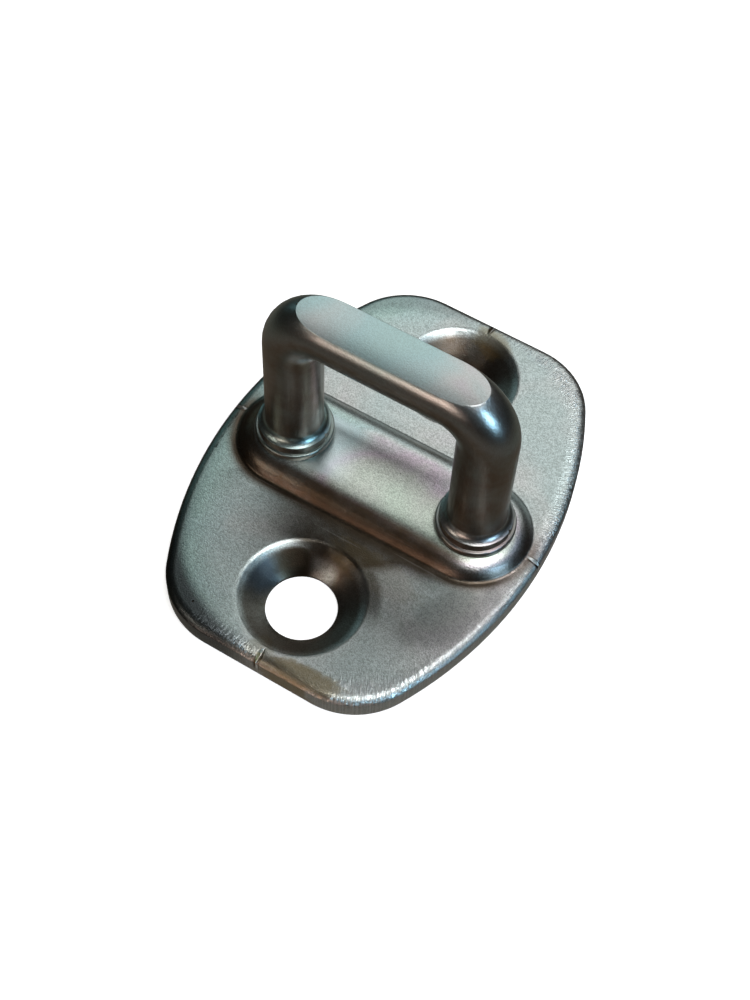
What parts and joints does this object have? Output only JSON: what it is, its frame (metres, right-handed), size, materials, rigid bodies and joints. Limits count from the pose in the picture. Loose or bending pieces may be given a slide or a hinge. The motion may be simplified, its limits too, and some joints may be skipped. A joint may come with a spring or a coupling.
{
  "type": "door latch striker",
  "caption": "Vehicle door latch striker: a countersunk oval base plate with a raised pad and a U-shaped round-rod loop riveted through it.",
  "frame": {"origin": "on the plate's flat back face, midway between the two screw holes and between the two legs", "axes": "+X from leg to leg of the loop, +Y along the line of the two screw holes, +Z out of the plate towards the loop's bar"},
  "size_m": [0.0482, 0.0634, 0.0336],
  "materials": {
    "plated_plate": "dull zinc plate, faint coloured passivation, brown tarnish in the corners",
    "plated_rod": "smooth worn zinc plate, brown tarnish on the sides, bright on the flat"
  },
  "bodies": {
    "root": {"base_plate": "plated_plate", "striker_loop": "plated_rod"}
  },
  "joints": []
}
